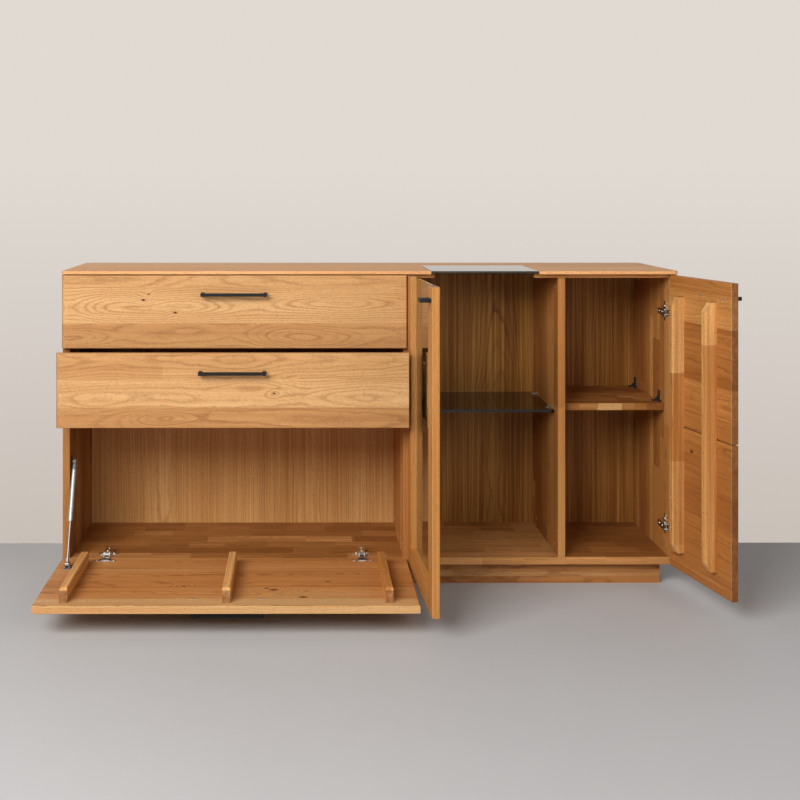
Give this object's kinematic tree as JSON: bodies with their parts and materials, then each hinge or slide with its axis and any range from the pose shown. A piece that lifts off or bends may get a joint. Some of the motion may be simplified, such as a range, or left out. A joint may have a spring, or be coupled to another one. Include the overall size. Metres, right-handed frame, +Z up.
{
  "type": "buffet cabinet",
  "caption": "Low oak sideboard on a recessed plinth: wide drawers over a drop flap on a gas strut, a glass door, a solid door, shelves, and a glass inset in the top.",
  "frame": {"origin": "on the floor, under the middle of the plinth", "axes": "+Z up, +X to the right of someone facing the cabinet, the fronts face -Y"},
  "size_m": [1.9889, 0.9096, 0.98],
  "materials": {
    "oak_carcass": "oiled, satin",
    "oak_top": "oiled, satin",
    "oak_fronts": "oiled, satin",
    "oak_veneer": "oiled, satin",
    "clear_glass": "clear",
    "shelf_glass": "tinted",
    "clear_pads": "clear soft",
    "black_handles": "black, satin",
    "black_bracket": "black, satin",
    "black_plastic": "moulded",
    "runner_steel": "zinc",
    "hinge_steel": "nickel plated",
    "bright_steel": "bright",
    "grey_socket": "moulded",
    "strut_silver": "silver, satin"
  },
  "bodies": {
    "carcass": {"left_side": "oak_carcass", "right_side": "oak_carcass", "left_divider": "oak_carcass", "right_divider": "oak_carcass", "bottom_board": "oak_carcass", "drawer_shelf": "oak_carcass", "sub_top": "oak_top", "top_board_left": "oak_top", "top_board_right": "oak_top", "top_rear_strip": "oak_top", "top_glass": "clear_glass", "top_glass_pads": "clear_pads", "back_panel_left": "oak_veneer", "back_panel_middle": "oak_veneer", "back_panel_right": "oak_veneer", "plinth_rails": "oak_carcass", "plinth_cross_rails": "oak_carcass", "glass_shelf": "shelf_glass", "glass_shelf_clamps": "bright_steel", "wood_shelf": "oak_carcass", "wood_shelf_clips": "black_plastic", "connector_caps": "bright_steel", "runner_channels": "runner_steel", "hinge_arms": "hinge_steel", "strut_wall_bracket": "black_bracket"},
    "upper_drawer": {"upper_drawer_front": "oak_fronts", "upper_drawer_box": "oak_carcass", "upper_drawer_bottom": "oak_veneer", "upper_drawer_handle": "black_handles", "upper_drawer_rails": "runner_steel"},
    "upper_runner": {"upper_runner_middles": "runner_steel"},
    "lower_drawer": {"lower_drawer_front": "oak_fronts", "lower_drawer_box": "oak_carcass", "lower_drawer_bottom": "oak_veneer", "lower_drawer_handle": "black_handles", "lower_drawer_rails": "runner_steel"},
    "lower_runner": {"lower_runner_middles": "runner_steel"},
    "flap": {"flap_panel": "oak_fronts", "flap_battens": "oak_fronts", "flap_batten_screws": "bright_steel", "flap_handle": "black_handles", "flap_hinge_cups": "hinge_steel", "flap_strut_bracket": "bright_steel"},
    "flap_links": {"flap_hinge_links": "hinge_steel"},
    "strut_rod": {"strut_rod": "strut_silver"},
    "strut_cylinder": {"strut_cylinder": "strut_silver", "strut_socket": "grey_socket"},
    "glass_door": {"glass_door_stiles": "oak_fronts", "glass_door_rail": "oak_fronts", "glass_door_pane": "clear_glass", "glass_door_handle": "black_handles", "glass_door_hinge_cups": "hinge_steel"},
    "glass_door_links": {"glass_door_hinge_links": "hinge_steel"},
    "solid_door": {"solid_door_upper_panel": "oak_fronts", "solid_door_lower_panel": "oak_fronts", "solid_door_battens": "oak_fronts", "solid_door_batten_screws": "bright_steel", "solid_door_handle": "black_handles", "solid_door_hinge_cups": "hinge_steel"},
    "solid_door_links": {"solid_door_hinge_links": "hinge_steel"}
  },
  "joints": [
    {"name": "upper_drawer_slide", "type": "slide", "parent": "carcass", "child": "upper_drawer", "axis": [0, -1, 0], "range_m": [0, 0.35]},
    {"name": "upper_runner_slide", "type": "slide", "parent": "carcass", "child": "upper_runner", "axis": [0, -1, 0], "range_m": [0, 0.175]},
    {"name": "lower_drawer_slide", "type": "slide", "parent": "carcass", "child": "lower_drawer", "axis": [0, -1, 0], "range_m": [-0.088, 0.262]},
    {"name": "lower_runner_slide", "type": "slide", "parent": "carcass", "child": "lower_runner", "axis": [0, -1, 0], "range_m": [-0.044, 0.131]},
    {"name": "flap_hinge", "type": "hinge", "parent": "carcass", "child": "flap", "pos_m": [-0.4185, -0.2285, 0.08], "axis": [-1, 0, 0], "range_deg": [0, 90]},
    {"name": "flap_link_hinge", "type": "hinge", "parent": "carcass", "child": "flap_links", "pos_m": [-0.4185, -0.2285, 0.08], "axis": [-1, 0, 0], "range_deg": [0, 45]},
    {"name": "strut_rod_swing", "type": "hinge", "parent": "flap", "child": "strut_rod", "pos_m": [-0.917, -0.313, 0.103], "axis": [1, 0, 0], "range_deg": [0, 109.44]},
    {"name": "strut_cylinder_slide", "type": "slide", "parent": "strut_rod", "child": "strut_cylinder", "axis": [0, -0.4064, -0.9137], "range_m": [0, 0.08737]},
    {"name": "glass_door_hinge", "type": "hinge", "parent": "carcass", "child": "glass_door", "pos_m": [0.124, -0.2285, 0.52], "axis": [0, 0, 1], "range_deg": [-3, 87]},
    {"name": "glass_door_link_hinge", "type": "hinge", "parent": "carcass", "child": "glass_door_links", "pos_m": [0.124, -0.2285, 0.52], "axis": [0, 0, 1], "range_deg": [-1.5, 43.5]},
    {"name": "solid_door_hinge", "type": "hinge", "parent": "carcass", "child": "solid_door", "pos_m": [0.942, -0.2285, 0.52], "axis": [0, 0, -1], "range_deg": [-9, 101]},
    {"name": "solid_door_link_hinge", "type": "hinge", "parent": "carcass", "child": "solid_door_links", "pos_m": [0.942, -0.2285, 0.52], "axis": [0, 0, -1], "range_deg": [-4.5, 50.5]}
  ],
  "couplings": [
    {"joint": "upper_runner_slide", "follows": "upper_drawer_slide", "ratio": 0.5},
    {"joint": "lower_runner_slide", "follows": "lower_drawer_slide", "ratio": 0.5},
    {"joint": "flap_link_hinge", "follows": "flap_hinge", "ratio": 0.5},
    {"joint": "strut_rod_swing", "follows": "flap_hinge", "ratio": 1.2158},
    {"joint": "strut_cylinder_slide", "follows": "flap_hinge", "m_per_rad": 0.05561},
    {"joint": "glass_door_link_hinge", "follows": "glass_door_hinge", "ratio": 0.5},
    {"joint": "solid_door_link_hinge", "follows": "solid_door_hinge", "ratio": 0.5}
  ]
}
